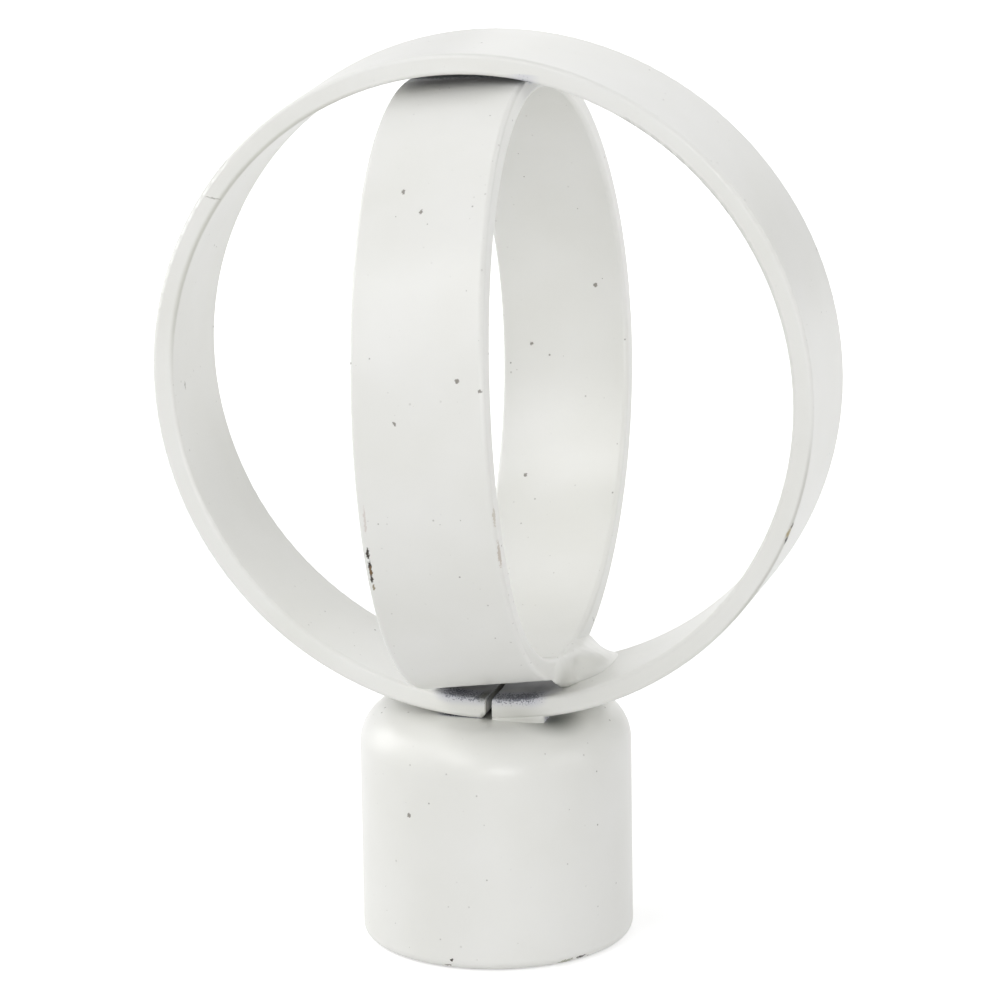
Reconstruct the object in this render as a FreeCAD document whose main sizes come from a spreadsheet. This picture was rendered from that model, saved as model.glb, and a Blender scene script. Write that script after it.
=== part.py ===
import FreeCAD, Part
import math
import os
import Sketcher

# Curtain pole finial: two flat steel hoops, one inside the other, welded on a cup that pushes over a pole.
# Millimetres. +Z is up the pole's axis, +X to the right and -Y to the front.
# The origin is the middle of the cup's mouth.

os.makedirs("parts", exist_ok=True)
doc = FreeCAD.newDocument("curtain_pole_finial")

# Driving sizes
SIZES = {
    # the pole, and the cup that covers its end
    "pole_diameter": 25.0,
    "pole_clearance": 0.1,
    "cap_wall": 1.4,
    "cap_length": 24.8,
    "cap_top": 1.5,
    "cap_shoulder": 4.3,
    "cap_lip_round": 1.0,
    # the strip that both hoops are rolled from
    "strip_thickness": 2.15,
    "strip_edge_round": 0.45,
    # the outer hoop faces the front and sits a little to the right of the pole's axis
    "outer_diameter": 69.0,
    "outer_width": 14.0,
    "outer_sidestep": 0.7,
    # its butt seam: how far right of the hoop's lowest point, how wide, and the rounding of its left end
    "seam_right": 0.6,
    "seam_gap": 0.64,
    "seam_corner": 0.95,
    # the inner hoop stands across the outer one, as large as the outer one's bore lets it be
    "inner_width": 13.8,
    "inner_seat_gap": 0.03,
    "inner_forward": 1.3,
    # how far its top stands left, its front right, and its top and bottom left of its two sides
    "inner_tilt_shift": 1.51,
    "inner_turn_shift": 0.85,
    "inner_saddle": 0.5,
    # how many degrees its strip rolls about its own length, once and twice a turn
    "inner_lean": 7.5,
    "inner_side_roll": 1.5,
    "inner_wave_roll": 1.7,
    # its own butt seam, and how many degrees it lies ahead of the hoop's lowest point
    "inner_seam_gap": 0.3,
    "inner_seam_turn": 10.0,
    # the weld on the outer hoop's floor, against the inner hoop's right edge, run in three puddles:
    # how large each is, where its middle is, right of the edge, back of the pole and above the floor, and its slope
    "main_width": 7.5,
    "main_length": 9.8,
    "main_height": 3.7,
    "main_right": 0.6,
    "main_back": 2.5,
    "main_rise": 0.5,
    "main_slope": 29.0,
    "front_width": 3.0,
    "front_length": 9.6,
    "front_height": 3.6,
    "front_right": 0.7,
    "front_back": -2.9,
    "front_rise": 1.45,
    "front_slope": 15.0,
    "lap_width": 3.4,
    "lap_length": 6.4,
    "lap_height": 1.7,
    "lap_right": -0.3,
    "lap_back": 2.6,
    "lap_rise": 2.65,
    "lap_slope": 8.0,
    # the weld that fills the narrow gap between the cup and the right end of the outer hoop
    "filler_end": 6.3,
    "filler_proud": 1.6,
    "filler_sink": 0.3,
    "filler_height": 1.0,
    "filler_round": 2.2,
    "filler_slope": 58.0,
}
sizes = doc.addObject("Spreadsheet::Sheet", "sizes")
for row, (alias, size) in enumerate(SIZES.items(), start=1):
    sizes.set(f"A{row}", alias)
    sizes.set(f"B{row}", str(size))
    sizes.setAlias(f"B{row}", alias)
doc.recompute()

# Sizes that follow from them
CAP_BORE = "(sizes.pole_diameter / 2 + sizes.pole_clearance)"
CAP_RADIUS = f"({CAP_BORE} + sizes.cap_wall)"
OUTER_RADIUS = "(sizes.outer_diameter / 2)"
OUTER_BORE = f"({OUTER_RADIUS} - sizes.strip_thickness)"
HOOP_CENTRE_Z = f"(sizes.cap_length + {OUTER_RADIUS})"

# The inner hoop's lower left corner seats in the outer hoop's bore: the middle of that corner's rounding lies
# one rounding and the seat gap inside the bore. That sets the radius of the inner hoop's mid line.
CORNER_ACROSS = "(sizes.inner_width / 2 - sizes.strip_edge_round)"
CORNER_OUT = "(sizes.strip_thickness / 2 - sizes.strip_edge_round)"
CORNER_LEFT = (
    f"({CORNER_ACROSS} * cos(sizes.inner_lean) - {CORNER_OUT} * sin(sizes.inner_lean)"
    " - sizes.inner_tilt_shift + sizes.inner_saddle)"
)
CORNER_REACH = f"({OUTER_BORE} - sizes.strip_edge_round - sizes.inner_seat_gap)"
INNER_MIDDLE = (
    f"(sqrt({CORNER_REACH} ^ 2 - {CORNER_LEFT} ^ 2)"
    f" - {CORNER_ACROSS} * sin(sizes.inner_lean) - {CORNER_OUT} * cos(sizes.inner_lean))"
)


def new_sketch(body, name, role):
    """An empty sketch of the body on the origin plane with that role."""
    plane = next(f for f in body.Origin.OriginFeatures if f.Role == role)
    sketch = body.newObject("Sketcher::SketchObject", name)
    sketch.AttachmentSupport = (plane, [""])
    sketch.MapMode = "FlatFace"
    return sketch


def bind(sketch, constraint, expression):
    """Adds a measured constraint and ties its value to the sheet."""
    index = sketch.addConstraint(constraint)
    sketch.setExpression(f"Constraints[{index}]", expression)


def outline(sketch, corners):
    """Draws a closed outline of level and upright lines, with a rounding at the corners that have one.

    A corner is (x, y, rounding), each an expression on the sheet, and "0" is on the axis or a sharp corner.
    """
    spots = [[float(sketch.evalExpression(e)) for e in corner] for corner in corners]
    points = [FreeCAD.Vector(x, y, 0) for x, y, _ in spots]
    count = len(corners)
    for i in range(count):
        after = (i + 1) % count
        along = (points[after] - points[i]).normalize()
        sketch.addGeometry(
            Part.LineSegment(points[i] + along * spots[i][2], points[after] - along * spots[after][2])
        )
        level = abs(along.x) > abs(along.y)
        sketch.addConstraint(Sketcher.Constraint("Horizontal" if level else "Vertical", i))
        where = corners[i][1] if level else corners[i][0]
        if where == "0":
            sketch.addConstraint(Sketcher.Constraint("PointOnObject", i, 1, -1 if level else -2))
        else:
            kind = "DistanceY" if level else "DistanceX"
            bind(sketch, Sketcher.Constraint(kind, i, 1, float(sketch.evalExpression(where))), where)
    for i in range(count):
        before = (i - 1) % count
        if corners[i][2] == "0":
            sketch.addConstraint(Sketcher.Constraint("Coincident", before, 2, i, 1))
            continue
        rounding = spots[i][2]
        came = (points[i] - points[before]).normalize()
        goes = (points[(i + 1) % count] - points[i]).normalize()
        middle = points[i] - came * rounding + goes * rounding
        turns_left = came.cross(goes).z > 0
        # an arc runs anticlockwise, so at a corner that turns right it starts on the line that follows
        spoke = points[i] + (goes if not turns_left else came * -1) * rounding - middle
        start = math.atan2(spoke.y, spoke.x)
        circle = Part.Circle(middle, FreeCAD.Vector(0, 0, 1), rounding)
        arc = sketch.addGeometry(Part.ArcOfCircle(circle, start, start + math.pi / 2))
        first, last = (1, 2) if turns_left else (2, 1)
        sketch.addConstraint(Sketcher.Constraint("Tangent", before, 2, arc, first))
        sketch.addConstraint(Sketcher.Constraint("Tangent", arc, last, i, 1))
        bind(sketch, Sketcher.Constraint("Radius", arc, rounding), corners[i][2])


def revolve(body, name, sketch):
    """A full turn of the sketch about its own upright axis."""
    turned = body.newObject("PartDesign::Revolution", name)
    turned.Profile = sketch
    turned.ReferenceAxis = (sketch, ["V_Axis"])
    turned.Angle = 360.0
    return turned


# Socket cap: a cup drawn from steel sheet, open at the bottom, with a round shoulder and a rounded lip
cap = doc.addObject("PartDesign::Body", "socket_cap")
cap.Label = "socket_cap"
cap_section = new_sketch(cap, "cap_section", "XZ_Plane")
CAP_INSIDE_TOP = "(sizes.cap_length - sizes.cap_top)"
outline(
    cap_section,
    [
        (CAP_BORE, "0", "0"),
        (CAP_RADIUS, "0", "sizes.cap_lip_round"),
        (CAP_RADIUS, "sizes.cap_length", "sizes.cap_shoulder"),
        ("0", "sizes.cap_length", "0"),
        ("0", CAP_INSIDE_TOP, "0"),
        (CAP_BORE, CAP_INSIDE_TOP, "sizes.cap_shoulder - sizes.cap_wall"),
    ],
)
revolve(cap, "cap_turned", cap_section)

# Outer hoop: flat strip rolled into a ring about the front-to-back axis
outer = doc.addObject("PartDesign::Body", "outer_hoop")
outer.Label = "outer_hoop"
outer.setExpression("Placement.Base.x", "sizes.outer_sidestep")
outer.setExpression("Placement.Base.z", HOOP_CENTRE_Z)
outer_section = new_sketch(outer, "outer_section", "XY_Plane")
outline(
    outer_section,
    [
        (OUTER_BORE, "-sizes.outer_width / 2", "sizes.strip_edge_round"),
        (OUTER_RADIUS, "-sizes.outer_width / 2", "sizes.strip_edge_round"),
        (OUTER_RADIUS, "sizes.outer_width / 2", "sizes.strip_edge_round"),
        (OUTER_BORE, "sizes.outer_width / 2", "sizes.strip_edge_round"),
    ],
)
outer_ring = revolve(outer, "outer_ring", outer_section)
doc.recompute()
whole_ring = outer_ring.Shape.Volume

# Its open butt seam: a slot through the strip, wider below where the strip's left end is rounded off
seam_outline = new_sketch(outer, "seam_outline", "XZ_Plane")
SEAM_RIGHT = "(sizes.seam_right + sizes.seam_gap / 2)"
SEAM_LEFT = "(sizes.seam_right - sizes.seam_gap / 2)"
SEAM_ABOVE = f"(-{OUTER_BORE} + sizes.strip_thickness)"
SEAM_BELOW = f"(-{OUTER_RADIUS} - sizes.strip_thickness)"
SEAM_FOOT = f"(-sqrt({OUTER_RADIUS} ^ 2 - ({SEAM_LEFT} - sizes.seam_corner) ^ 2))"
outline(
    seam_outline,
    [
        (SEAM_RIGHT, SEAM_BELOW, "0"),
        (SEAM_RIGHT, SEAM_ABOVE, "0"),
        (SEAM_LEFT, SEAM_ABOVE, "0"),
        (SEAM_LEFT, SEAM_FOOT, "sizes.seam_corner"),
        (f"({SEAM_LEFT} - 2 * sizes.seam_corner)", SEAM_FOOT, "0"),
        (f"({SEAM_LEFT} - 2 * sizes.seam_corner)", SEAM_BELOW, "0"),
    ],
)
seam = outer.newObject("PartDesign::Pocket", "seam")
seam.Profile = seam_outline
seam.Type = "ThroughAll"
seam.Midplane = True

# Inner hoop: strip sections round a ring about the left-to-right axis, from one end of the strip to the other
inner = doc.addObject("PartDesign::Body", "inner_hoop")
inner.Label = "inner_hoop"
inner.setExpression("Placement.Base.x", "sizes.outer_sidestep")
inner.setExpression("Placement.Base.y", "-sizes.inner_forward")
inner.setExpression("Placement.Base.z", HOOP_CENTRE_Z)
SPANS = 20
END_ANGLE = f"atan(sizes.inner_seam_gap / 2 / {INNER_MIDDLE})"
sections = []
for i in range(SPANS + 1):
    # the section's angle from the top of the ring towards the front, starting behind the seam
    turn = (
        f"(180 deg - sizes.inner_seam_turn * 1 deg + {END_ANGLE}"
        f" + {i} / {SPANS} * (360 deg - 2 * {END_ANGLE}))"
    )
    along_x = (
        f"(-sizes.inner_tilt_shift * cos({turn}) + sizes.inner_turn_shift * sin({turn})"
        f" - sizes.inner_saddle * cos(2 * {turn}))"
    )
    slope = (
        f"((sizes.inner_tilt_shift * sin({turn}) + sizes.inner_turn_shift * cos({turn})"
        f" + 2 * sizes.inner_saddle * sin(2 * {turn})) / {INNER_MIDDLE})"
    )
    roll = (
        f"(sizes.inner_lean * cos({turn}) + sizes.inner_side_roll * sin({turn})"
        f" + sizes.inner_wave_roll * sin(2 * {turn})) * 1 deg"
    )
    section = new_sketch(inner, f"inner_section_{i}", "XY_Plane")
    section.setExpression(
        "AttachmentOffset",
        f"placement(vector({along_x}; -{INNER_MIDDLE} * sin({turn}); {INNER_MIDDLE} * cos({turn}));"
        f" rotation(vector(1; 0; 0); 90 deg + {turn}) * rotation(vector(0; 1; 0); atan({slope}))"
        f" * rotation(vector(0; 0; 1); {roll}))",
    )
    outline(
        section,
        [
            ("-sizes.inner_width / 2", "-sizes.strip_thickness / 2", "sizes.strip_edge_round"),
            ("sizes.inner_width / 2", "-sizes.strip_thickness / 2", "sizes.strip_edge_round"),
            ("sizes.inner_width / 2", "sizes.strip_thickness / 2", "sizes.strip_edge_round"),
            ("-sizes.inner_width / 2", "sizes.strip_thickness / 2", "sizes.strip_edge_round"),
        ],
    )
    sections.append(section)
doc.recompute()
inner_ring = inner.newObject("PartDesign::AdditiveLoft", "inner_ring")
inner_ring.Profile = sections[0]
inner_ring.Sections = sections[1:]

# Hoop weld: three puddles run together on the outer hoop's floor that lap the inner hoop's right edge
EDGE_RIGHT = (
    "(sizes.inner_tilt_shift - sizes.inner_saddle + sizes.inner_width / 2 * cos(sizes.inner_lean))"
)
puddles = []
for spot in ("main", "front", "lap"):
    puddle_x = f"({EDGE_RIGHT} + sizes.{spot}_right)"
    puddle_z = f"({HOOP_CENTRE_Z} - sqrt({OUTER_BORE} ^ 2 - {puddle_x} ^ 2) + sizes.{spot}_rise)"
    puddle = doc.addObject("Part::Ellipsoid", f"{spot}_puddle")
    puddle.setExpression("Radius1", f"sizes.{spot}_height / 2")
    puddle.setExpression("Radius2", f"sizes.{spot}_width / 2")
    puddle.setExpression("Radius3", f"sizes.{spot}_length / 2")
    puddle.Angle1 = -90.0
    puddle.Angle2 = 90.0
    puddle.Angle3 = 360.0
    puddle.setExpression(
        "Placement",
        f"placement(vector(sizes.outer_sidestep + {puddle_x}; sizes.{spot}_back; {puddle_z});"
        f" rotation(vector(0; 1; 0); sizes.{spot}_slope * 1 deg))",
    )
    puddles.append(puddle)
bead = doc.addObject("Part::MultiFuse", "bead")
bead.Shapes = puddles
bore_room = doc.addObject("Part::Cylinder", "bore_room")
bore_room.setExpression("Radius", OUTER_BORE)
bore_room.setExpression("Height", "2 * sizes.outer_width")
bore_room.setExpression(
    "Placement",
    f"placement(vector(sizes.outer_sidestep; sizes.outer_width; {HOOP_CENTRE_Z});"
    " rotation(vector(1; 0; 0); 90 deg))",
)
bead_over_floor = doc.addObject("Part::MultiCommon", "bead_over_floor")
bead_over_floor.Shapes = [bead, bore_room]
hoop_weld = doc.addObject("Part::Cut", "hoop_weld")
hoop_weld.Label = "hoop_weld"
hoop_weld.Base = bead_over_floor
hoop_weld.Tool = inner

# Cap weld: filler under the hoop's right end, with sides that slope down to the cup, cut to fit both
filler = doc.addObject("PartDesign::Body", "filler")
filler.setExpression("Placement.Base.x", "sizes.outer_sidestep")
filler_outline = new_sketch(filler, "filler_outline", "XY_Plane")
filler_outline.setExpression("AttachmentOffset.Base.z", "sizes.cap_length - sizes.filler_sink")
FILLER_REACH = "(sizes.outer_width / 2 + sizes.filler_proud)"
outline(
    filler_outline,
    [
        (SEAM_RIGHT, f"-{FILLER_REACH}", "0"),
        ("sizes.filler_end", f"-{FILLER_REACH}", "sizes.filler_round"),
        ("sizes.filler_end", FILLER_REACH, "sizes.filler_round"),
        (SEAM_RIGHT, FILLER_REACH, "0"),
    ],
)
filler_block = filler.newObject("PartDesign::Pad", "filler_block")
filler_block.Profile = filler_outline
filler_block.setExpression("Length", "sizes.filler_height")
filler_block.setExpression("TaperAngle", "-sizes.filler_slope")
filler_on_cap = doc.addObject("Part::Cut", "filler_on_cap")
filler_on_cap.Base = filler
filler_on_cap.Tool = cap
cap_weld = doc.addObject("Part::Cut", "cap_weld")
cap_weld.Label = "cap_weld"
cap_weld.Base = filler_on_cap
cap_weld.Tool = outer

doc.recompute()

# Checks before anything is written
for made in doc.Objects:
    if {"Invalid", "Error"} & set(made.State):
        raise RuntimeError(f"{made.Label} failed: {made.State}")
if not outer.Shape.Volume < whole_ring:
    raise RuntimeError("the seam cut nothing")
PIECES = [cap, outer, inner, hoop_weld, cap_weld]
for piece in PIECES:
    if piece.Shape.isNull() or not piece.Shape.isValid():
        raise RuntimeError(f"{piece.Label} has no valid shape")
    piece.Shape.exportStep(f"parts/{piece.Label}.step")
    print(piece.Label, len(piece.Shape.Solids), round(piece.Shape.Volume, 1), piece.Shape.BoundBox)
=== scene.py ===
import math

import bpy
import numpy as np
from mathutils import Matrix, Vector


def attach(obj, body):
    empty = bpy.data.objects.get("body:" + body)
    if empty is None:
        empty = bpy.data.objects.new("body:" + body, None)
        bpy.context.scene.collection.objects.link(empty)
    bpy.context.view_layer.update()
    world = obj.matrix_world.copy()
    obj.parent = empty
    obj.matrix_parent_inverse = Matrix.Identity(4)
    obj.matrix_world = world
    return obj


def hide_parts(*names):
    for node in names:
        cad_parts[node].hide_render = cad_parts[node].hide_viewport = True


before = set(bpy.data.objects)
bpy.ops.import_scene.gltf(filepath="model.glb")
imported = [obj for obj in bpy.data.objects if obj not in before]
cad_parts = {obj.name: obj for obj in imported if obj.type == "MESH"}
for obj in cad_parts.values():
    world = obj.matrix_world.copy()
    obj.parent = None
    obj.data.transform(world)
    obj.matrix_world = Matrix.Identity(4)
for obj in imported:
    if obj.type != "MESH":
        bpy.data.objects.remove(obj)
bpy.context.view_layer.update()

# Socket cap
# A cup drawn from mild steel sheet, open at the bottom, which pushes over the end of the pole. The whole
# finial was sprayed white once it was welded, so paint covers all but the places that spray did not reach.
MM = 0.001


def linear(hex_colour):
    """An sRGB hex colour as linear red, green, blue and alpha, by the standard transfer curve."""
    parts = [int(hex_colour[i : i + 2], 16) / 255 for i in (1, 3, 5)]
    return [p / 12.92 if p <= 0.04045 else ((p + 0.055) / 1.055) ** 2.4 for p in parts] + [1.0]


def add_node(tree, kind, inputs=None, **properties):
    """Adds a node. inputs maps a socket's name or number to its value or to the socket that feeds it."""
    node = tree.nodes.new(kind)
    for name, value in properties.items():
        setattr(node, name, value)
    for socket, value in (inputs or {}).items():
        if isinstance(value, bpy.types.NodeSocket):
            tree.links.new(value, node.inputs[socket])
        else:
            node.inputs[socket].default_value = value
    return node


# Sprayed white enamel, which gives soft broad highlights that wander a little with its orange peel
THICK_COAT = "#eaeae7"
THIN_COAT = "#e4e4df"
FIRST_MIST = "#cfd0d6"
MIST = "#7f818b"
MILL_SCALE = "#2b2c31"
DUST = "#77736b"
SATIN = 0.32  # roughness of the coat
DRY = 0.6  # roughness of bare steel and of dry overspray
ENAMEL_IOR = 1.5
PEEL = 1.3  # mm across a bump of the orange peel
RELIEF = 0.04  # mm that the coat's bumps and nibs stand up
CLOUD = 16.0  # mm across a thicker or thinner patch of the coat
NIB_CELL = 1.05  # mm of space that holds one dust nib; a nib shows where the surface cuts through it
NIB_REACH = 0.15  # radius of the largest nib, in cells
NIB_SHADE = 0.85  # how far the darkest nib is from the coat to dust
GRAIN = 0.2  # mm, the dry overspray; finer in truth, drawn as coarse as a picture shows it
SPATTER = 1.6  # how far the grain moves the paint's edge, in fades
PAINT_EDGE = (1.22, 1.38)  # grain and cover together, from the last bare steel to the first closed paint
TEAR = 0.35  # mm across a tooth of a chip's ragged outline
FLECK = 0.16  # mm across a fleck of paint left in a chip
FLECKING = 1.5  # how far the flecks eat into a chip, in its radii
CHIP_EDGE = (1.95, 1.55)  # flecks and distance together, from the last paint to the open chip


def enamelled_steel(name, hidden=(), blemishes=(), painted_shade_edges=(), thin_spray_and_shade_spots=()):
    """White enamel sprayed on mild steel: satin, with a fine orange peel and dust nibs caught in it.

    hidden lists blocks of space that the spray did not reach, each as its middle, its half size and the
    distance over which the paint fades in beyond it, all x, y, z in mm, and its tilt, turns about x, y, z in
    degrees. The steel there is bare mill scale, and round it the paint begins as a mist and dry grains.
    thin_spray_and_shade_spots lists smooth patches, each as its middle, radii and colour: some grey where
    little spray fell, and some painted shade in hollows, lees, creases and under the inner strip.
    painted_shade_edges lists soft grey lines of painted shade along a circle about the y axis: its middle,
    its radius, the line's half width, the middle of the arc that shows, that arc's reach to each side and
    its colour. blemishes lists chips, rust and dirt, each as its middle, radii, tilt and colour.
    """
    material = bpy.data.materials.new(name)
    material.use_nodes = True
    tree = material.node_tree
    tree.nodes.clear()
    there = add_node(tree, "ShaderNodeTexCoord").outputs["Object"]
    place = add_node(
        tree, "ShaderNodeVectorMath", {0: there, "Scale": 1 / MM}, operation="SCALE"
    ).outputs["Vector"]

    # the coat: a little thicker in some patches, with the odd nib of dust
    cloud = add_node(tree, "ShaderNodeTexNoise", {"Vector": place, "Scale": 1 / CLOUD, "Detail": 3.0})
    tone = add_node(
        tree, "ShaderNodeMapRange", {0: cloud.outputs["Fac"], 1: 0.3, 2: 0.7, 3: 0.0, 4: 1.0}
    )
    coat = add_node(
        tree,
        "ShaderNodeMix",
        {0: tone.outputs[0], 6: linear(THIN_COAT), 7: linear(THICK_COAT)},
        data_type="RGBA",
    )
    nibs = add_node(tree, "ShaderNodeTexVoronoi", {"Vector": place, "Scale": 1 / NIB_CELL})
    chance = add_node(tree, "ShaderNodeSeparateColor", {0: nibs.outputs["Color"]})
    reach = add_node(tree, "ShaderNodeMath", {0: chance.outputs[0], 1: NIB_REACH}, operation="MULTIPLY")
    near = add_node(
        tree, "ShaderNodeMath", {0: nibs.outputs["Distance"], 1: reach.outputs[0]}, operation="DIVIDE"
    )
    dot = add_node(tree, "ShaderNodeMapRange", {0: near.outputs[0], 1: 1.0, 2: 0.5, 3: 0.0, 4: 1.0})
    rare = add_node(tree, "ShaderNodeMath", {0: chance.outputs[1], 1: 3.0}, operation="POWER")
    dark = add_node(tree, "ShaderNodeMath", {0: rare.outputs[0], 1: NIB_SHADE}, operation="MULTIPLY")
    nib = add_node(tree, "ShaderNodeMath", {0: dot.outputs[0], 1: dark.outputs[0]}, operation="MULTIPLY")
    colour = add_node(
        tree, "ShaderNodeMix", {0: nib.outputs[0], 6: coat.outputs[2], 7: linear(DUST)}, data_type="RGBA"
    ).outputs[2]

    # how far the place lies outside every hidden block, in fades: 0 is bare steel, and past 1 is paint
    cover = 2.0
    for middle, half, fade, tilt in hidden:
        turns = [math.radians(t) for t in tilt]
        scaled = add_node(
            tree,
            "ShaderNodeMapping",
            {"Vector": place, "Location": middle, "Rotation": turns, "Scale": fade},
            vector_type="TEXTURE",
        )
        size = add_node(tree, "ShaderNodeVectorMath", {0: scaled.outputs[0]}, operation="ABSOLUTE")
        over = add_node(
            tree,
            "ShaderNodeVectorMath",
            {0: size.outputs[0], 1: tuple(h / f for h, f in zip(half, fade))},
            operation="SUBTRACT",
        )
        beyond = add_node(
            tree, "ShaderNodeVectorMath", {0: over.outputs[0], 1: (0.0, 0.0, 0.0)}, operation="MAXIMUM"
        )
        far = add_node(tree, "ShaderNodeVectorMath", {0: beyond.outputs[0]}, operation="LENGTH")
        cover = add_node(
            tree, "ShaderNodeMath", {0: far.outputs["Value"], 1: cover}, operation="MINIMUM"
        ).outputs[0]
    roughness = SATIN
    if hidden:
        grain = add_node(
            tree,
            "ShaderNodeTexNoise",
            {"Vector": place, "Scale": 1 / GRAIN, "Detail": 2.0, "Roughness": 0.6},
        )
        rough_edge = add_node(
            tree,
            "ShaderNodeMath",
            {0: grain.outputs["Fac"], 1: SPATTER, 2: cover},
            operation="MULTIPLY_ADD",
        )
        painted = add_node(
            tree,
            "ShaderNodeMapRange",
            {0: rough_edge.outputs[0], 1: PAINT_EDGE[0], 2: PAINT_EDGE[1]},
            interpolation_type="SMOOTHSTEP",
        )
        thick = add_node(
            tree, "ShaderNodeMapRange", {0: cover, 1: 0.5, 2: 1.1}, interpolation_type="SMOOTHSTEP"
        )
        paint = add_node(
            tree, "ShaderNodeMix", {0: thick.outputs[0], 6: linear(FIRST_MIST), 7: colour}, data_type="RGBA"
        )
        misted = add_node(
            tree, "ShaderNodeMapRange", {0: cover, 1: 0.0, 2: 0.3}, interpolation_type="SMOOTHSTEP"
        )
        steel = add_node(
            tree,
            "ShaderNodeMix",
            {0: misted.outputs[0], 6: linear(MILL_SCALE), 7: linear(MIST)},
            data_type="RGBA",
        )
        colour = add_node(
            tree,
            "ShaderNodeMix",
            {0: painted.outputs[0], 6: steel.outputs[2], 7: paint.outputs[2]},
            data_type="RGBA",
        ).outputs[2]
        roughness = add_node(
            tree, "ShaderNodeMapRange", {0: painted.outputs[0], 3: DRY, 4: SATIN}
        ).outputs[0]

    # smooth patches of thin spray and of painted shade, and soft lines of painted shade along edges, each
    # fading out from its middle
    fades = []
    for middle, radii, shade in thin_spray_and_shade_spots:
        scaled = add_node(
            tree,
            "ShaderNodeMapping",
            {"Vector": place, "Location": middle, "Scale": radii},
            vector_type="TEXTURE",
        )
        far = add_node(tree, "ShaderNodeVectorMath", {0: scaled.outputs[0]}, operation="LENGTH")
        fades.append((far, shade))
    for middle, radius, half_width, arc_middle, arc_reach, shade in painted_shade_edges:
        off = add_node(tree, "ShaderNodeVectorMath", {0: place, 1: middle}, operation="SUBTRACT")
        flat = add_node(
            tree, "ShaderNodeVectorMath", {0: off.outputs[0], 1: (1.0, 0.0, 1.0)}, operation="MULTIPLY"
        )
        spoke = add_node(tree, "ShaderNodeVectorMath", {0: flat.outputs[0]}, operation="LENGTH")
        miss = add_node(
            tree, "ShaderNodeMath", {0: spoke.outputs["Value"], 1: radius}, operation="SUBTRACT"
        )
        parts = add_node(tree, "ShaderNodeSeparateXYZ", {0: off.outputs[0]})
        along = add_node(tree, "ShaderNodeVectorMath", {0: place, 1: arc_middle}, operation="DISTANCE")
        ended = add_node(
            tree,
            "ShaderNodeMapRange",
            {0: along.outputs["Value"], 1: arc_reach / 2, 2: arc_reach, 3: 0.0, 4: half_width},
        )
        line = add_node(
            tree, "ShaderNodeCombineXYZ", {0: miss.outputs[0], 1: parts.outputs[1], 2: ended.outputs[0]}
        )
        thin = add_node(
            tree, "ShaderNodeVectorMath", {0: line.outputs[0], "Scale": 1 / half_width}, operation="SCALE"
        )
        far = add_node(tree, "ShaderNodeVectorMath", {0: thin.outputs[0]}, operation="LENGTH")
        fades.append((far, shade))
    for far, shade in fades:
        inside = add_node(
            tree,
            "ShaderNodeMapRange",
            {0: far.outputs["Value"], 1: 1.0, 2: 0.0, 3: 0.0, 4: 1.0},
            interpolation_type="SMOOTHSTEP",
        )
        colour = add_node(
            tree, "ShaderNodeMix", {0: inside.outputs[0], 6: colour, 7: linear(shade)}, data_type="RGBA"
        ).outputs[2]

    # chips, rust and dirt, with ragged outlines and flecks of paint left in them
    tear = add_node(tree, "ShaderNodeTexNoise", {"Vector": place, "Scale": 1 / TEAR, "Detail": 2.0})
    pushed = add_node(
        tree,
        "ShaderNodeVectorMath",
        {0: tear.outputs["Color"], 1: (TEAR, TEAR, TEAR), 2: place},
        operation="MULTIPLY_ADD",
    )
    ragged = add_node(
        tree,
        "ShaderNodeVectorMath",
        {0: pushed.outputs[0], 1: (TEAR / 2, TEAR / 2, TEAR / 2)},
        operation="SUBTRACT",
    ).outputs[0]
    fleck = add_node(tree, "ShaderNodeTexNoise", {"Vector": place, "Scale": 1 / FLECK, "Detail": 1.0})
    for middle, radii, tilt, shade in blemishes:
        turns = [math.radians(t) for t in tilt]
        scaled = add_node(
            tree,
            "ShaderNodeMapping",
            {"Vector": ragged, "Location": middle, "Rotation": turns, "Scale": radii},
            vector_type="TEXTURE",
        )
        far = add_node(tree, "ShaderNodeVectorMath", {0: scaled.outputs[0]}, operation="LENGTH")
        broken = add_node(
            tree,
            "ShaderNodeMath",
            {0: fleck.outputs["Fac"], 1: FLECKING, 2: far.outputs["Value"]},
            operation="MULTIPLY_ADD",
        )
        inside = add_node(
            tree,
            "ShaderNodeMapRange",
            {0: broken.outputs[0], 1: CHIP_EDGE[0], 2: CHIP_EDGE[1], 3: 0.0, 4: 1.0},
        )
        colour = add_node(
            tree, "ShaderNodeMix", {0: inside.outputs[0], 6: colour, 7: linear(shade)}, data_type="RGBA"
        ).outputs[2]

    # the relief: the peel all over, and a mound of paint round each nib, which rises from 3.2 of its radii
    peel = add_node(tree, "ShaderNodeTexNoise", {"Vector": place, "Scale": 1 / PEEL, "Detail": 1.0})
    mound = add_node(
        tree,
        "ShaderNodeMapRange",
        {0: near.outputs[0], 1: 3.2, 2: 0.6, 3: 0.0, 4: 0.9},
        interpolation_type="SMOOTHSTEP",
    )
    height = add_node(
        tree,
        "ShaderNodeMath",
        {0: mound.outputs[0], 1: chance.outputs[1], 2: peel.outputs["Fac"]},
        operation="MULTIPLY_ADD",
    )
    relief = add_node(
        tree, "ShaderNodeBump", {"Height": height.outputs[0], "Strength": 0.35, "Distance": RELIEF * MM}
    )
    shader = add_node(
        tree,
        "ShaderNodeBsdfPrincipled",
        {"Base Color": colour, "Roughness": roughness, "IOR": ENAMEL_IOR, "Normal": relief.outputs[0]},
    )
    add_node(tree, "ShaderNodeOutputMaterial", {"Surface": shader.outputs[0]})
    return material


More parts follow.
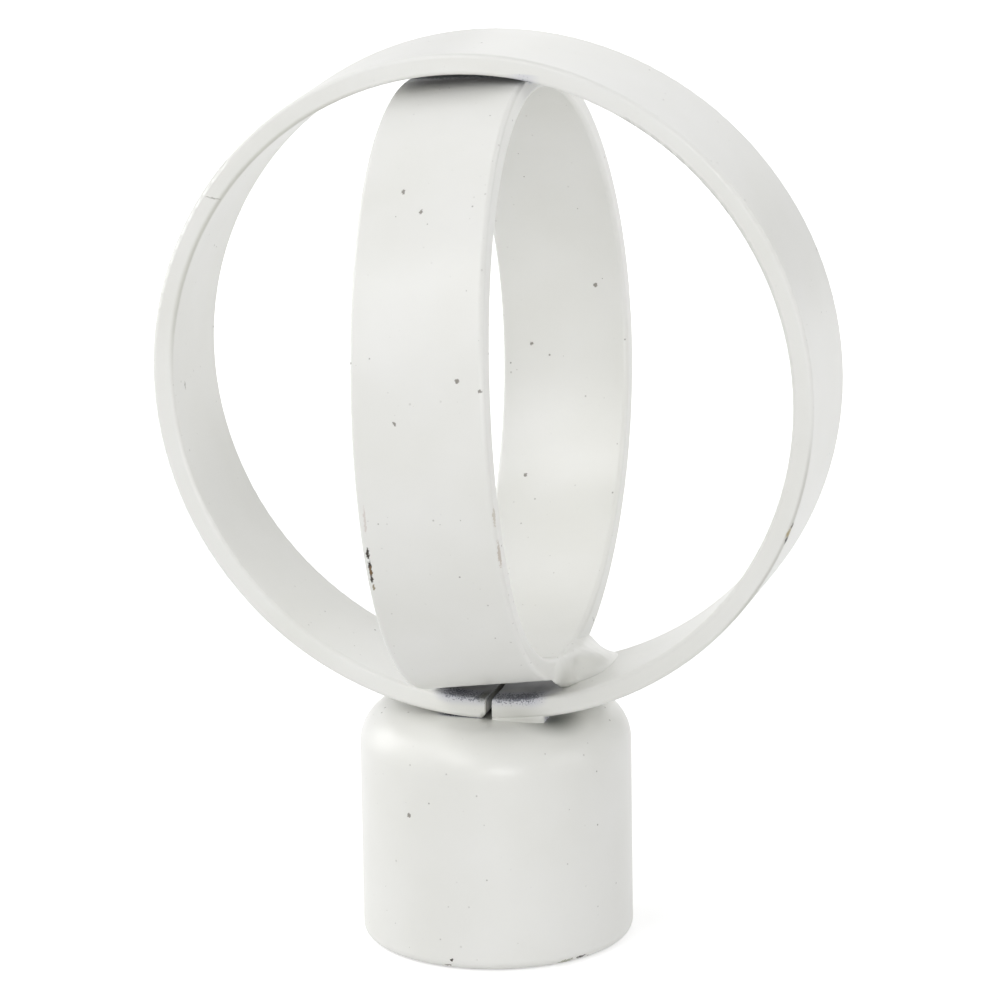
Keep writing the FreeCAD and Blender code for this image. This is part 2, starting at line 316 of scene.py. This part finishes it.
# the flat top of the cap, which the outer hoop's lowest part shades, all but touching it
LEVEL = (0.0, 0.0, 0.0)  # no tilt
CAP_HIDDEN = [((1.5, 0.0, 24.8), (4.4, 6.0, 1.0), (1.8, 1.0, 2.0), LEVEL)]
CHIP = "#3a332b"
RUST = "#6b5233"
GREY_DUST = "#8f8b84"
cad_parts["socket_cap"].material_slots[0].material = enamelled_steel(
    "enamelled_drawn_steel",
    CAP_HIDDEN,
    [
        # a chip on the rolled lip, and two specks of dirt to its left
        ((11.1, -8.4, 0.5), (0.5, 0.6, 0.14), (0.0, -8.0, 0.0), CHIP),
        ((9.9, -9.8, 0.4), (0.9, 0.8, 0.14), (0.0, -8.0, 0.0), "#a3a493"),
        ((-1.08, -13.96, 1.08), (0.14, 0.3, 0.14), LEVEL, CHIP),
        ((-1.5, -13.8, 0.45), (0.35, 0.4, 0.1), LEVEL, GREY_DUST),
        ((-5.7, -12.8, 15.9), (0.22, 0.3, 0.22), LEVEL, GREY_DUST),
    ],
    thin_spray_and_shade_spots=[
        # painted shade on the flat top in the lee of the hoop's right end, and a greyer patch below the seam
        ((7.6, -5.6, 24.9), (4.4, 4.6, 2.2), "#7a7d77"),
        ((1.1, -5.6, 24.8), (1.3, 3.4, 0.8), "#b4b4ac"),
    ],
)

# Outer hoop
# Flat mild steel strip, rolled on the flat into a hoop that faces the front, with an open butt seam at its
# foot. The spray did not reach its floor below the inner hoop, nor its bore above the inner hoop's top.
ALONG_RIGHT_EDGE = (0.0, 23.0, 0.0)
HAIR = "#a9a7a0"
# the floor's front and back rims, the bore at the top, and the underside on the cap
OUTER_HIDDEN = [
    ((1.4, -6.1, 27.9), (3.8, 0.5, 0.0), (2.6, 2.1, 1.9), LEVEL),
    ((1.4, 6.1, 27.9), (3.8, 0.5, 0.0), (2.6, 2.1, 1.9), LEVEL),
    ((0.2, 0.0, 91.2), (6.5, 4.4, 0.6), (2.5, 1.4, 0.35), (0.0, 0.0, -15.0)),
    ((1.5, 0.0, 24.6), (4.4, 6.2, 0.3), (1.8, 0.6, 0.6), LEVEL),
]
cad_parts["outer_hoop"].material_slots[0].material = enamelled_steel(
    "enamelled_steel_strip",
    OUTER_HIDDEN,
    [
        # a chip of rust on the right edge, a hair and a speck of dirt on the left
        ((33.05, -6.75, 47.3), (0.1, 0.3, 0.4), ALONG_RIGHT_EDGE, "#5f574a"),
        ((32.6, -6.85, 46.5), (0.16, 0.3, 0.5), ALONG_RIGHT_EDGE, "#a89c7c"),
        ((32.35, -6.75, 45.7), (0.11, 0.3, 0.4), ALONG_RIGHT_EDGE, CHIP),
        ((-26.8, -7.0, 77.95), (0.8, 0.3, 0.05), (0.0, 10.0, 0.0), HAIR),
        ((-31.6, -3.3, 57.3), (0.3, 0.12, 0.4), LEVEL, HAIR),
    ],
    [
        # painted shade along the rounded inner edge on the left and the outer edge on the right
        ((0.7, -6.85, 59.3), 32.5, 0.45, (-25.3, -6.9, 78.6), 23.0, "#d3d3cc"),
        ((0.7, -6.85, 59.3), 34.35, 0.3, (31.8, -6.9, 44.8), 14.0, "#cecdc8"),
    ],
    [
        # the floor under the inner strip, grey partly from thin spray and partly as painted shade
        ((2.2, 0.0, 27.1), (9.0, 5.6, 1.6), "#b9bac0"),
        # painted shade on the floor in the dark gap under the strip, by the weld
        ((5.6, -3.2, 27.4), (2.6, 2.6, 0.9), "#5c5d62"),
        # painted shade low on the rim face, beside the cap
        ((4.6, -7.1, 25.4), (5.0, 1.2, 1.7), "#cfcfc9"),
        # the butted end of the strip and the floor and corner beside it, grey where the spray was thin
        ((0.55, -5.6, 26.9), (0.9, 2.6, 0.7), "#8b8b83"),
        ((0.98, -2.5, 26.5), (0.25, 4.6, 0.9), "#c9c9c0"),
        ((0.98, -7.0, 26.0), (0.2, 1.0, 2.4), "#a9a9a2"),
        ((0.75, -7.1, 24.95), (0.55, 0.8, 0.8), "#85857e"),
    ],
)

# Inner hoop
# A second flat strip rolled into a smaller hoop and wedged across inside the first. It leans and twists a
# little, as it was put in by hand, and its lower left edge is knocked, with the paint off in chips.
# its outer face at the top, under the outer hoop, and at the foot, on the outer hoop's floor
INNER_HIDDEN = [
    ((0.0, 2.6, 90.8), (9.5, 3.2, 1.1), (2.0, 2.4, 0.5), (0.0, -7.5, -15.0)),
    ((2.0, -0.5, 27.6), (5.0, 4.5, 0.9), (1.5, 1.5, 0.9), (0.0, -7.5, 0.0)),
]
ALONG_LEFT_EDGE = (23.0, 0.0, 0.0)
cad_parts["inner_hoop"].material_slots[0].material = enamelled_steel(
    "enamelled_rolled_strip",
    INNER_HIDDEN,
    [
        # the left edge: a faint rubbed trace, and below it the chips of the knock
        ((-3.86, -31.6, 52.4), (0.12, 0.4, 1.3), (10.0, 0.0, 0.0), "#d8d3ce"),
        ((-3.9, -30.75, 48.8), (0.15, 0.4, 0.6), ALONG_LEFT_EDGE, CHIP),
        ((-3.86, -30.3, 47.5), (0.15, 0.4, 0.5), ALONG_LEFT_EDGE, CHIP),
        ((-3.84, -30.0, 46.8), (0.13, 0.4, 0.6), ALONG_LEFT_EDGE, RUST),
        ((-3.86, -29.7, 45.95), (0.17, 0.4, 0.4), ALONG_LEFT_EDGE, CHIP),
        ((-3.81, -29.25, 44.95), (0.13, 0.4, 0.4), ALONG_LEFT_EDGE, "#9a9078"),
        # the right edge: two faint rubbed traces
        ((9.16, -31.4, 53.5), (0.14, 0.3, 0.9), (10.0, 0.0, 0.0), "#cdc8be"),
        ((9.26, -30.1, 49.4), (0.14, 0.3, 1.5), (18.0, 0.0, 0.0), "#c8c0b6"),
        # dirt caught in the coat, on the face and on the bore
        ((8.1, -32.0, 66.1), (0.2, 0.3, 0.2), LEVEL, GREY_DUST),
        ((5.7, -31.7, 66.9), (0.2, 0.3, 0.2), LEVEL, GREY_DUST),
        ((-2.5, -21.0, 82.8), (0.2, 0.3, 0.2), LEVEL, GREY_DUST),
        ((-0.1, -23.1, 81.4), (0.2, 0.3, 0.2), LEVEL, GREY_DUST),
        ((-0.5, -32.1, 62.4), (0.18, 0.3, 0.18), LEVEL, GREY_DUST),
        ((-3.2, 27.5, 55.6), (0.2, 0.3, 0.2), LEVEL, GREY_DUST),
        ((-2.7, 22.5, 42.5), (0.2, 0.3, 0.2), LEVEL, GREY_DUST),
        ((3.9, 27.3, 62.4), (0.2, 0.3, 0.2), LEVEL, GREY_DUST),
    ],
)

# Hoop weld
# A lump of weld run in by hand between the inner hoop's right edge and the outer hoop's floor: a thin toe
# in front, a round crown that laps over the strip's edge, and a slope down to the floor on the right.
HOOP_MIDDLE = (0.7, 59.3)  # x and z of the outer hoop's centre, mm
BORE_RADIUS = 32.35


def floor_height(x):
    """Height of the bore's floor: the centre's height less the root of r² - (x - the centre's x)²."""
    return HOOP_MIDDLE[1] - np.sqrt(BORE_RADIUS**2 - (np.asarray(x) - HOOP_MIDDLE[0]) ** 2)


def b_spline(control, count, closed):
    """Points along a uniform cubic B-spline whose control points run along the first axis.

    Each is four control points in turn weighted (1-t)³, 3t³-6t²+4, -3t³+3t²+3t+1 and t³, over 6.
    """
    spans = len(control) if closed else len(control) - 3
    along = np.linspace(0, spans, count, endpoint=not closed)
    first = np.minimum(along.astype(int), spans - 1)
    t = (along - first).reshape(-1, *[1] * (control.ndim - 1))
    weights = [(1 - t) ** 3, 3 * t**3 - 6 * t**2 + 4, -3 * t**3 + 3 * t**2 + 3 * t + 1, t**3]
    return sum(w * control[(first + i) % len(control)] for i, w in enumerate(weights)) / 6


def skin(name, rings):
    """A closed piece from rings of points in mm: faces join ring to ring, and a fan shuts each end."""
    turns, count = rings.shape[:2]
    ends = rings[[0, -1]].mean(axis=1)
    points = np.concatenate([rings.reshape(-1, 3), ends]) * MM
    ring, spoke = np.indices((turns - 1, count))
    a = ring * count + spoke
    b = ring * count + (spoke + 1) % count
    sides = np.stack([a, b, b + count, a + count], axis=-1).reshape(-1, 4)
    this = np.arange(count)
    following = (this + 1) % count
    last = (turns - 1) * count
    hub = np.full(count, turns * count)
    first_fan = np.stack([hub, following, this], axis=-1)
    last_fan = np.stack([hub + 1, last + this, last + following], axis=-1)
    mesh = bpy.data.meshes.new(name)
    mesh.from_pydata(points.tolist(), [], sides.tolist() + first_fan.tolist() + last_fan.tolist())
    mesh.polygons.foreach_set("use_smooth", np.ones(len(mesh.polygons), dtype=bool))
    mesh.update()
    piece = bpy.data.objects.new(name, mesh)
    bpy.context.scene.collection.objects.link(piece)
    return piece


# Stations from the front to the back, in mm: the y of each, and below them the x and z of the nine points
# round its section, from inside the strip over its top edge, crown and shoulder, down the slope to the
# toe, then below the floor and up the gap
WELD_STATIONS = np.array(
    [-9.8, -9.0, -8.0, -7.0, -6.0, -5.0, -4.0, -3.0, -2.2, -1.3, 0.0, 1.6, 3.5, 5.2, 6.5, 7.4]
)
WELD = np.array(
    [
        [
            [8.5, 31.0], [8.55, 31.3], [8.65, 31.3], [8.78, 31.0], [8.8, 30.8],
            [8.8, 30.6], [8.7, 30.5], [8.6, 30.5], [8.5, 30.7],
        ],
        [
            [8.2, 31.0], [8.35, 31.7], [8.6, 31.8], [8.84, 31.3], [8.92, 30.8],
            [8.94, 30.4], [8.87, 30.1], [8.6, 30.0], [8.3, 30.4],
        ],
        [
            [8.1, 30.8], [8.25, 31.6], [8.55, 31.9], [8.87, 31.2], [8.98, 30.5],
            [9.0, 29.9], [8.9, 29.55], [8.5, 29.5], [8.2, 30.0],
        ],
        [
            [8.0, 30.6], [8.15, 31.5], [8.5, 31.8], [8.88, 31.1], [9.02, 30.2],
            [9.0, 29.5], [8.8, 29.1], [8.4, 29.1], [8.1, 29.6],
        ],
        [
            [7.9, 30.4], [8.1, 31.3], [8.5, 31.7], [8.95, 30.9], [9.1, 30.0],
            [9.05, 29.2], [8.75, 28.7], [8.3, 28.6], [8.0, 29.2],
        ],
        [
            [7.8, 30.3], [8.0, 31.2], [8.5, 31.6], [9.05, 30.8], [9.25, 29.9],
            [9.2, 29.0], [8.8, 28.25], [8.1, 28.15], [7.9, 28.9],
        ],
        [
            [7.7, 30.2], [7.95, 31.0], [8.5, 31.5], [9.25, 30.9], [9.55, 29.9],
            [9.6, 28.95], [9.4, 28.1], [8.0, 27.5], [7.8, 28.6],
        ],
        [
            [7.5, 30.1], [7.85, 30.95], [8.5, 31.5], [9.6, 31.0], [8.9, 30.0],
            [9.5, 28.37], [10.35, 28.44], [8.9, 27.11], [7.6, 28.5],
        ],
        [
            [7.4, 30.1], [7.7, 31.0], [8.55, 31.55], [9.95, 31.0], [10.0, 30.1],
            [10.6, 28.7], [11.45, 28.81], [10.0, 27.42], [7.5, 28.45],
        ],
        [
            [7.2, 30.15], [7.5, 31.0], [8.6, 31.55], [10.2, 31.0], [10.8, 30.15],
            [11.4, 28.97], [12.25, 29.1], [10.8, 27.67], [7.4, 28.4],
        ],
        [
            [7.0, 30.2], [7.3, 31.1], [8.6, 31.5], [10.4, 30.9], [11.15, 30.05],
            [11.75, 29.1], [12.5, 29.1], [11.15, 27.78], [7.3, 28.3],
        ],
        [
            [6.8, 30.3], [7.1, 31.2], [8.4, 31.35], [10.3, 30.6], [11.3, 29.85],
            [11.9, 29.15], [12.6, 29.12], [11.3, 27.84], [7.0, 28.3],
        ],
        [
            [6.8, 30.4], [7.2, 31.2], [8.3, 31.05], [10.0, 30.25], [11.2, 29.55],
            [11.8, 29.11], [12.55, 29.06], [11.2, 27.8], [7.0, 28.3],
        ],
        [
            [7.1, 30.5], [7.5, 31.1], [8.4, 30.6], [9.9, 29.6], [10.9, 29.18],
            [11.5, 29.01], [12.3, 28.9], [10.9, 27.7], [7.2, 28.5],
        ],
        [
            [7.6, 30.3], [8.0, 30.7], [8.6, 30.2], [9.6, 29.2], [10.2, 28.99],
            [10.8, 28.77], [11.6, 28.65], [10.2, 27.48], [7.9, 28.7],
        ],
        [
            [8.2, 29.6], [8.4, 29.8], [8.8, 29.5], [9.2, 29.0], [9.6, 28.6],
            [9.8, 28.3], [9.9, 28.0], [9.2, 28.0], [8.5, 28.8],
        ],
    ]
)
RINGS = 120  # from the front of the bead to its back
SPOKES = 96  # round each ring
RIPPLE = 1.25  # mm from one freeze line of the weld to the next, as arcs that bow to the front of the bead
RIPPLE_HEIGHT = 0.015  # mm
LUMP_HEIGHT = 0.05  # mm, of slow uneven waves some 4 mm long
FEATHER = 0.8  # mm above the floor over which both come in
stations = np.broadcast_to(WELD_STATIONS[:, None], WELD.shape[:2])
sections = np.stack([WELD[..., 0], stations, WELD[..., 1]], axis=-1)
sections = sections[[0, 0, *range(len(sections)), -1, -1]]
lines = b_spline(sections, RINGS, closed=False).swapaxes(0, 1)
rings = b_spline(lines, SPOKES, closed=True).swapaxes(0, 1)
x, y, z = np.moveaxis(rings, -1, 0)
lift = RIPPLE_HEIGHT * np.sin(2 * np.pi * (y - 0.25 * (x - 9.5) ** 2) / RIPPLE)
lift += LUMP_HEIGHT * np.sin(1.9 * x + 1.1 * y) * np.sin(1.4 * z - 0.9 * y + 0.6)
rings[..., 2] += lift * np.clip((z - floor_height(x)) / FEATHER, 0, 1)
hoop_weld = skin("hoop_weld_bead", rings)
hoop_weld.data.materials.append(
    enamelled_steel(
        "enamelled_weld_bead",
        # the side in the gap between the strip and the floor
        [((7.0, 0.0, 28.2), (0.8, 3.0, 0.8), (0.6, 0.9, 0.6), LEVEL)],
        thin_spray_and_shade_spots=[
            # painted shade in the hollow by the strip's edge, on the lee of the crown, and in the valley
            # along the strip
            ((8.95, -6.6, 29.2), (1.3, 3.4, 1.9), "#d0d0cb"),
            ((11.0, -0.8, 29.7), (2.6, 5.0, 1.6), "#e6e6e2"),
            ((7.6, 0.0, 31.2), (0.6, 2.4, 0.5), "#cacac4"),
        ],
    )
)
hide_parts("hoop_weld")
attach(hoop_weld, "root")

# Cap weld
# A low weld that fills the narrow gap between the cap's flat top and the right end of the outer hoop. It
# was smeared out flush along the hoop's front and back edges.

# Stations from left to right, in mm: x, how far the weld reaches past the hoop's edges, and up them
FILLER = np.array(
    [
        [1.62, 0.0, 0.1],
        [1.8, 0.04, 0.2],
        [3.0, 0.06, 0.3],
        [4.5, 0.06, 0.4],
        [5.8, 0.05, 0.58],
        [6.6, 0.0, 0.72],
        [7.05, -0.3, 0.7],
    ]
)
CAP_TOP = 24.8  # mm above the ground
HOOP_HALF_WIDTH = 7.0  # mm, from the middle of the outer hoop's strip to its front and back edges
FILLER_RINGS = 60  # from left to right
x, out, up = FILLER.T
none = np.zeros_like(x)
# each edge's profile runs from inside the cap up the strip's edge and into the strip
y = HOOP_HALF_WIDTH + np.stack([out + 0.15, out + 0.05, 0.6 * out, none + 0.02, none - 0.4])
z = CAP_TOP + np.stack([none - 0.3, none - 0.05, 0.25 * up, up, up + 0.4])
along = np.broadcast_to(x, y.shape)
front = np.stack([along, -y, z], axis=-1)
back = np.stack([along, y, z], axis=-1)[::-1]
foot = HOOP_HALF_WIDTH + 0.7 * out
under = np.stack([[x, foot, none + CAP_TOP - 0.5], [x, -foot, none + CAP_TOP - 0.5]]).swapaxes(1, 2)
sections = np.concatenate([front, back, under])[::-1].swapaxes(0, 1)
sections = sections[[0, 0, *range(len(sections)), -1, -1]]
lines = b_spline(sections, FILLER_RINGS, closed=False).swapaxes(0, 1)
rings = b_spline(lines, SPOKES, closed=True).swapaxes(0, 1)
cap_weld = skin("cap_weld_bead", rings)
cap_weld.data.materials.append(
    enamelled_steel(
        # the thin spot is painted shade low on the hoop's front edge, beside the cap
        "enamelled_filler_weld", CAP_HIDDEN, thin_spray_and_shade_spots=[((4.6, -7.2, 25.1), (5.0, 1.2, 1.2), "#cfcfc9")]
    )
)
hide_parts("cap_weld")
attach(cap_weld, "root")

# Studio
# A plain pale floor and backdrop that the camera sees as white, and soft light from all round.
FLOOR_REACH = 3.0  # metres to each side
FLOOR_DROP = 0.05 * MM  # keeps the floor clear of the cap's lip
floor_mesh = bpy.data.meshes.new("floor")
floor_mesh.from_pydata(
    [(x * FLOOR_REACH, y * FLOOR_REACH, -FLOOR_DROP) for x, y in ((-1, -1), (1, -1), (1, 1), (-1, 1))],
    [],
    [(0, 1, 2, 3)],
)
floor = bpy.data.objects.new("floor", floor_mesh)
bpy.context.scene.collection.objects.link(floor)
paper = bpy.data.materials.new("white_paper_sweep")
paper.use_nodes = True
tree = paper.node_tree
tree.nodes.clear()
# plain white paper, matt, so that it gives no highlight
matt = add_node(tree, "ShaderNodeBsdfDiffuse", {"Color": linear("#e0e0e0")})


def seen_or_mirrored(tree):
    """1 where a place is seen straight, in gloss or through glass, and 0 where it only lights something."""
    path = add_node(tree, "ShaderNodeLightPath")
    direct = add_node(
        tree,
        "ShaderNodeMath",
        {0: path.outputs["Is Camera Ray"], 1: path.outputs["Is Glossy Ray"]},
        operation="MAXIMUM",
    )
    any_of_them = add_node(
        tree,
        "ShaderNodeMath",
        {0: direct.outputs[0], 1: path.outputs["Is Transmission Ray"]},
        operation="MAXIMUM",
    )
    return any_of_them.outputs[0]


# the paper glows a little, and more where it is out of the lamps' reach, so that it stays white there
GLOW_NEAR, GLOW_FAR = 0.52, 0.8
NEAR, FAR = 0.05, 0.4  # metres from the finial
spot = add_node(tree, "ShaderNodeTexCoord").outputs["Object"]
away = add_node(tree, "ShaderNodeVectorMath", {0: spot}, operation="LENGTH")
share = add_node(
    tree, "ShaderNodeMapRange", {0: away.outputs["Value"], 1: NEAR, 2: FAR, 3: GLOW_NEAR, 4: GLOW_FAR}
)
strength = add_node(
    tree, "ShaderNodeMath", {0: share.outputs[0], 1: seen_or_mirrored(tree)}, operation="MULTIPLY"
)
glow = add_node(
    tree, "ShaderNodeEmission", {"Color": (1.0, 1.0, 1.0, 1.0), "Strength": strength.outputs[0]}
)
both = add_node(tree, "ShaderNodeAddShader", {0: matt.outputs[0], 1: glow.outputs[0]})
add_node(tree, "ShaderNodeOutputMaterial", {"Surface": both.outputs[0]})
floor_mesh.materials.append(paper)

SKY = 0.285  # light from all round, beside the lamps
world = bpy.data.worlds.new("studio")
bpy.context.scene.world = world
world.use_nodes = True
tree = world.node_tree
tree.nodes.clear()
soft = add_node(tree, "ShaderNodeBackground", {"Color": (1.0, 1.0, 1.0, 1.0), "Strength": SKY})
seen = add_node(tree, "ShaderNodeBackground", {"Color": (1.0, 1.0, 1.0, 1.0), "Strength": 1.0})
either = add_node(
    tree, "ShaderNodeMixShader", {0: seen_or_mirrored(tree), 1: soft.outputs[0], 2: seen.outputs[0]}
)
add_node(tree, "ShaderNodeOutputWorld", {"Surface": either.outputs[0]})

# soft boxes round the hoops: compass turn from the front, height in degrees, width in metres, and watts
SOFT_BOXES = [
    (20, 0, 0.4, 2.33),
    (-16, 28, 0.25, 0.68),
    (-30, 45, 0.2, 0.56),
    (-60, 30, 0.7, 1.05),
    (-100, 15, 0.5, 1.55),
    (-100, 45, 0.8, 1.45),
    (80, 15, 0.5, 1.17),
    (130, 45, 0.5, 1.0),
    (180, 60, 0.9, 0.32),
    (180, 15, 0.5, 0.43),
]
BOX_DISTANCE = 0.8  # metres
HOOP_CENTRE = np.array([HOOP_MIDDLE[0], 0.0, HOOP_MIDDLE[1]]) * MM
for i, (azimuth, elevation, width, watts) in enumerate(SOFT_BOXES):
    a, e = math.radians(azimuth), math.radians(elevation)
    toward = np.array([math.sin(a) * math.cos(e), -math.cos(a) * math.cos(e), math.sin(e)])
    lamp = bpy.data.lights.new(f"soft_box_{i}", "AREA")
    lamp.shape = "DISK"
    lamp.size = width
    lamp.energy = watts
    holder = bpy.data.objects.new(f"soft_box_{i}", lamp)
    bpy.context.scene.collection.objects.link(holder)
    holder.location = HOOP_CENTRE + toward * BOX_DISTANCE
    holder.rotation_mode = "QUATERNION"
    holder.rotation_quaternion = Vector(toward).to_track_quat("Z", "Y")

# Camera
# Far off with a long lens, a little from the right and from above, as the photograph was taken.
camera_data = bpy.data.cameras.new("camera")
camera = bpy.data.objects.new("camera", camera_data)
bpy.context.scene.collection.objects.link(camera)
bpy.context.scene.camera = camera
CAMERA_SPOT = np.array([162.376, -568.958, 211.218]) * MM
AZIMUTH, ELEVATION, ROLL = 15.8493, 15.5963, -0.8866  # degrees round to the right, up, and over
a, e, roll = (math.radians(turn) for turn in (AZIMUTH, ELEVATION, ROLL))
back = np.array([math.sin(a) * math.cos(e), -math.cos(a) * math.cos(e), math.sin(e)])
right = np.array([math.cos(a), math.sin(a), 0.0])
up = np.cross(back, right)
across = math.cos(roll) * right + math.sin(roll) * up
upright = -math.sin(roll) * right + math.cos(roll) * up
pose = np.eye(4)
pose[:3] = np.array([across, upright, back, CAMERA_SPOT]).T
camera.matrix_world = Matrix(pose.tolist())
camera_data.sensor_width = 36.0  # mm
camera_data.lens = 216.52  # mm
camera_data.clip_start = 0.01
camera_data.clip_end = 20.0
bpy.context.scene.view_settings.view_transform = "Standard"
